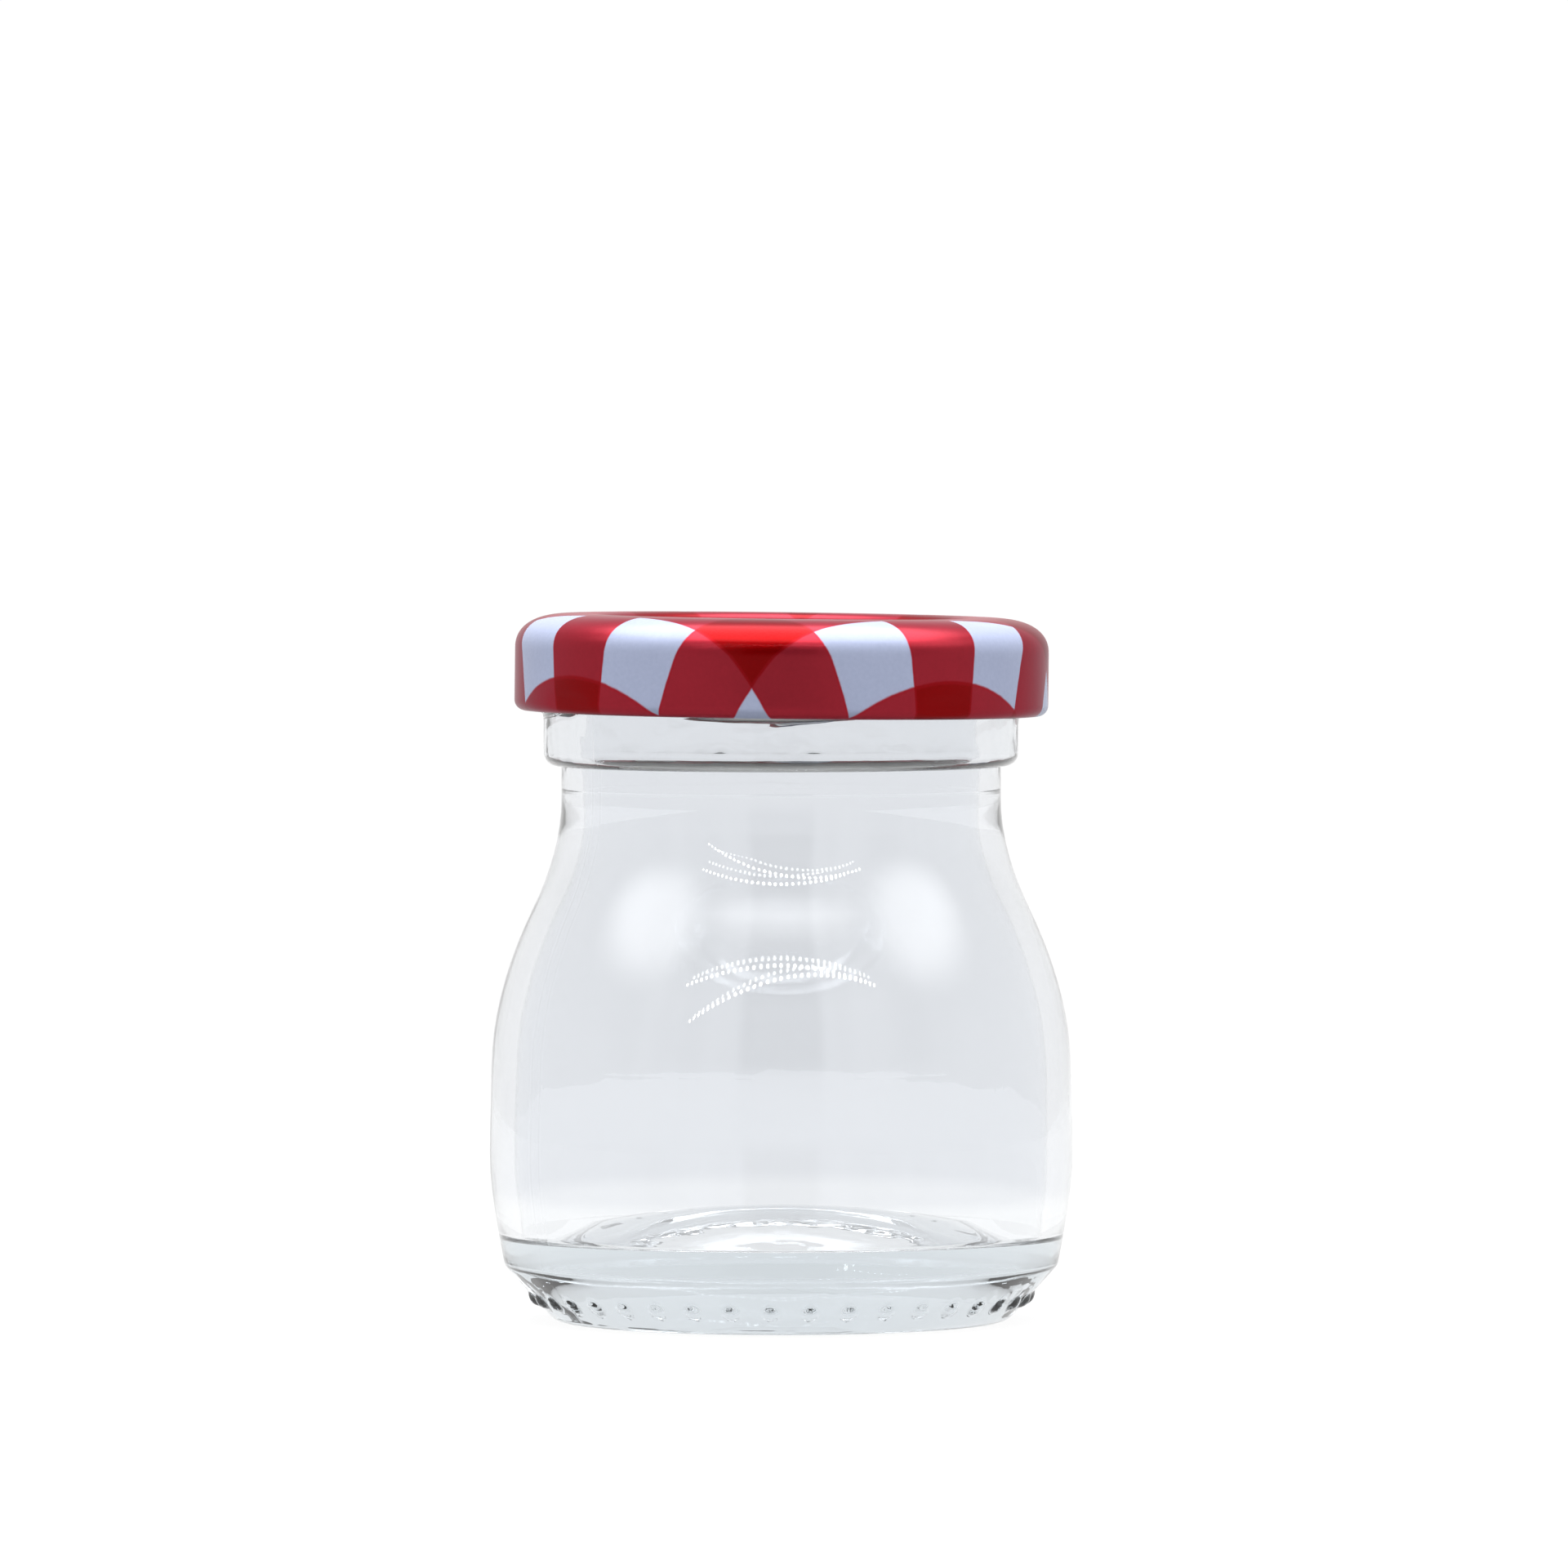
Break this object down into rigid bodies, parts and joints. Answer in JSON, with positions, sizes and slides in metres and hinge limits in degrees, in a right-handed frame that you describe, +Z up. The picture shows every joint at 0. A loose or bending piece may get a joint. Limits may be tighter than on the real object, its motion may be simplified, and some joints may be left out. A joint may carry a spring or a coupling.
{
  "type": "glass jar",
  "caption": "Small clear glass jar with a narrow neck and a round belly, closed by a red and white gingham twist-off steel lid.",
  "frame": {"origin": "centre of the contact ring that the jar stands on, on the jar's axis", "axes": "+Z up along the jar's axis, -Y towards the side that the picture shows"},
  "size_m": [0.0558, 0.0558, 0.0676],
  "materials": {
    "clear_glass": "clear flint glass, smooth, faintly blue-grey where it is thick",
    "printed_steel": "red and white gingham print under clear gloss varnish on tinplate",
    "sealing_compound": "soft off-white satin"
  },
  "bodies": {
    "root": {"glass_jar": "clear_glass", "lid": "printed_steel", "sealing_ring": "sealing_compound"}
  },
  "joints": []
}
